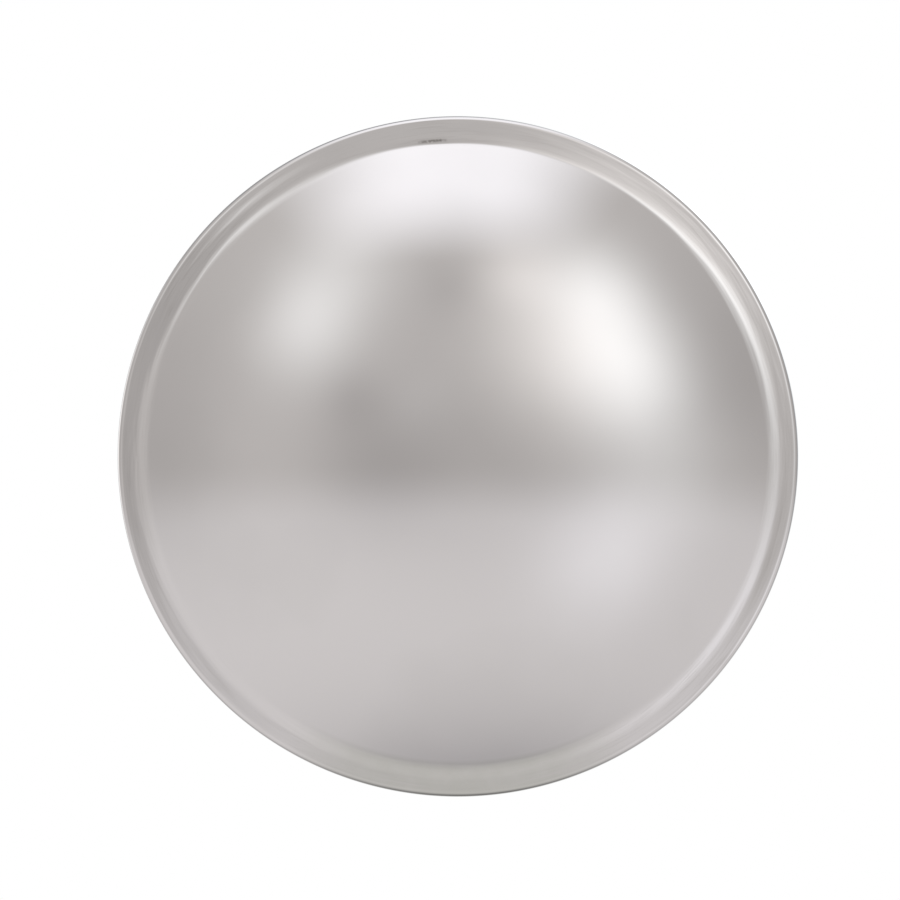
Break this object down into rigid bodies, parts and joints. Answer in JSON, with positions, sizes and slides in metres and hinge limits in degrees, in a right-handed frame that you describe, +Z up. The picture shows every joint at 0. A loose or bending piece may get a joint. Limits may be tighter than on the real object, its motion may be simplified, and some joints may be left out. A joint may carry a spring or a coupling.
{
  "type": "traffic convex mirror",
  "caption": "Round convex mirror of polished stainless steel on a closed metal back, with a bolted bracket that pans and tilts on a round pole.",
  "frame": {"origin": "on the axis of the pole that the clamp holds, at the middle of the clamp's height", "axes": "+Z up along the pole, the mirror faces -Y, +X to the right as seen from the front"},
  "size_m": [0.4499, 0.3165, 0.45],
  "materials": {
    "polished_stainless": "mirror-polished stainless steel sheet, slightly wavy on the rim",
    "galvanised_sheet": "spangled galvanised sheet, satin",
    "galvanised_plate": "hot-dip galvanised plate, dull and mottled",
    "galvanised_casting": "galvanised malleable casting, grainy",
    "zinc_fastener": "bright zinc-plated steel",
    "epdm": "matt black EPDM rubber",
    "nylon": "natural nylon, waxy satin"
  },
  "bodies": {
    "pole_mount": {"pole_saddle": "galvanised_plate", "clamp_strap": "galvanised_plate", "bracket_arm": "galvanised_plate", "pan_clevis": "galvanised_plate", "clamp_bolts": "zinc_fastener", "clamp_washers": "zinc_fastener", "clamp_nuts": "zinc_fastener", "pan_bolt": "zinc_fastener", "pan_washers": "zinc_fastener", "pan_nut": "zinc_fastener"},
    "swivel": {"swivel_knuckle": "galvanised_casting", "pan_bushes": "nylon", "tilt_bushes": "nylon"},
    "head": {"mirror_face": "polished_stainless", "edge_seal": "epdm", "back_pan": "galvanised_sheet", "stiffener_plate": "galvanised_plate", "weld_nuts": "zinc_fastener", "head_plate": "galvanised_plate", "tilt_ears": "galvanised_plate", "bracket_bolts": "zinc_fastener", "bracket_washers": "zinc_fastener", "lock_washers": "zinc_fastener", "tilt_bolt": "zinc_fastener", "tilt_washers": "zinc_fastener", "tilt_nut": "zinc_fastener"}
  },
  "joints": [
    {"name": "pan", "type": "hinge", "parent": "pole_mount", "child": "swivel", "pos_m": [0, -0.115, 0], "axis": [0, 0, 1], "range_deg": [-60, 60]},
    {"name": "tilt", "type": "hinge", "parent": "swivel", "child": "head", "pos_m": [0, -0.161, 0], "axis": [1, 0, 0], "range_deg": [-35, 35]}
  ]
}
